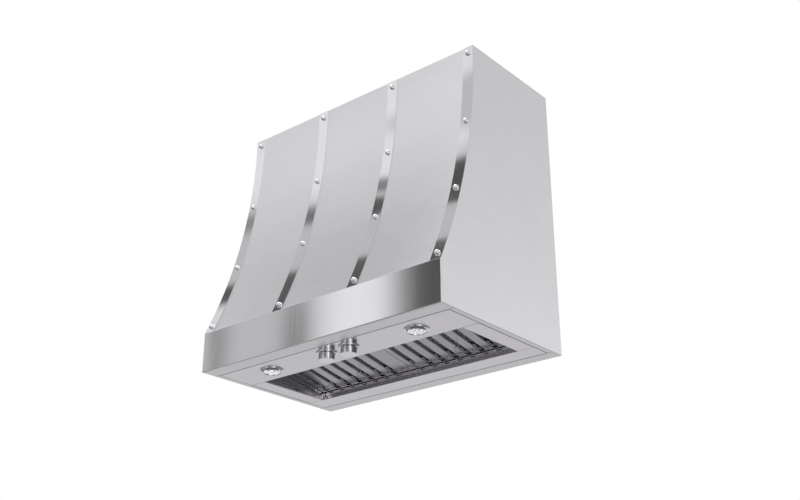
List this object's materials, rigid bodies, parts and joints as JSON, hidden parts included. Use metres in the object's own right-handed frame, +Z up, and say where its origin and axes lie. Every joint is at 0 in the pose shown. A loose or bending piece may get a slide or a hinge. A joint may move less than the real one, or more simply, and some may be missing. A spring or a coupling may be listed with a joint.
{
  "type": "chimney range hood",
  "caption": "Wall-mounted canopy range hood with a curved front, studded straps, polished apron, sloping baffle filters, lamps, control knobs, inside blower and round top duct collar with dampers.",
  "frame": {"origin": "on the wall plane, at the middle of the hood's lower rear edge: x = 0 is the centre line, y = 0 the wall, z = 0 the underside of the shell", "axes": "+X to the right as seen from the front, +Y into the wall, +Z up; the front faces -Y"},
  "size_m": [0.9144, 0.564, 0.9368],
  "materials": {
    "satin_steel": "satin, fine cross grain",
    "liner_steel": "satin",
    "filter_steel": "rolled, dull",
    "polished_steel": "mirror polished stainless sheet",
    "chrome": "bright plate",
    "galvanised_steel": "zinc coated sheet",
    "zinc_steel": "zinc plated",
    "cast_aluminium": "cast and turned",
    "lens_glass": "faceted clear lens",
    "black_plastic": "moulded"
  },
  "bodies": {
    "canopy": {"front_skin": "satin_steel", "side_panel_left": "satin_steel", "side_panel_right": "satin_steel", "back_panel": "galvanised_steel", "top_panel": "satin_steel", "apron": "polished_steel", "strap_outer_left": "polished_steel", "strap_inner_left": "polished_steel", "strap_inner_right": "polished_steel", "strap_outer_right": "polished_steel", "strap_studs": "chrome", "wall_rails": "galvanised_steel", "control_panel": "liner_steel", "liner_rear": "liner_steel", "liner_side_left": "liner_steel", "liner_side_right": "liner_steel", "filter_rail": "galvanised_steel", "grease_trough": "liner_steel", "filter_rests": "galvanised_steel", "plenum_box": "galvanised_steel", "plenum_stays": "galvanised_steel", "lamp_trim_left": "chrome", "lamp_lens_left": "lens_glass", "lamp_can_left": "cast_aluminium", "lamp_trim_right": "chrome", "lamp_lens_right": "lens_glass", "lamp_can_right": "cast_aluminium", "fan_bezel": "chrome", "light_bezel": "chrome", "fan_switch": "black_plastic", "light_switch": "black_plastic", "switch_nuts": "zinc_steel", "scroll_housing": "galvanised_steel", "inlet_rings": "galvanised_steel", "motor_body": "cast_aluminium", "motor_bracket": "zinc_steel", "riser_duct": "galvanised_steel", "duct_collar": "galvanised_steel", "damper_pin": "zinc_steel", "junction_box": "galvanised_steel", "junction_cover": "galvanised_steel", "cable_gland": "black_plastic", "panel_rivets": "zinc_steel"},
    "left_filter": {"filter_frame_left": "filter_steel", "lower_vanes_left": "filter_steel", "upper_vanes_left": "filter_steel", "filter_pull_left": "chrome"},
    "right_filter": {"filter_frame_right": "filter_steel", "lower_vanes_right": "filter_steel", "upper_vanes_right": "filter_steel", "filter_pull_right": "chrome"},
    "fan_control": {"fan_knob": "chrome", "fan_spindle": "zinc_steel"},
    "light_control": {"light_knob": "chrome", "light_spindle": "zinc_steel"},
    "rotor": {"impeller": "galvanised_steel", "impeller_blades": "galvanised_steel", "motor_shaft": "zinc_steel"},
    "front_flap": {"damper_front": "galvanised_steel"},
    "rear_flap": {"damper_rear": "galvanised_steel"}
  },
  "joints": [
    {"name": "left_filter_slide", "type": "slide", "parent": "canopy", "child": "left_filter", "axis": [0, -0.9806, 0.1959], "range_m": [0, 0.016]},
    {"name": "right_filter_slide", "type": "slide", "parent": "canopy", "child": "right_filter", "axis": [0, -0.9806, 0.1959], "range_m": [0, 0.016]},
    {"name": "fan_turn", "type": "hinge", "parent": "canopy", "child": "fan_control", "pos_m": [-0.0424, -0.456, -0.013], "axis": [0, 0, 1], "range_deg": [0, 270]},
    {"name": "light_turn", "type": "hinge", "parent": "canopy", "child": "light_control", "pos_m": [0.0424, -0.456, -0.013], "axis": [0, 0, 1], "range_deg": [0, 270]},
    {"name": "impeller_spin", "type": "hinge", "parent": "canopy", "child": "rotor", "pos_m": [0, -0.26399, 0.26998], "axis": [1, 0, 0], "continuous": true},
    {"name": "front_flap_swing", "type": "hinge", "parent": "canopy", "child": "front_flap", "pos_m": [0, -0.19, 0.884], "axis": [-1, 0, 0], "range_deg": [0, 75]},
    {"name": "rear_flap_swing", "type": "hinge", "parent": "canopy", "child": "rear_flap", "pos_m": [0, -0.19, 0.884], "axis": [1, 0, 0], "range_deg": [0, 75]}
  ]
}
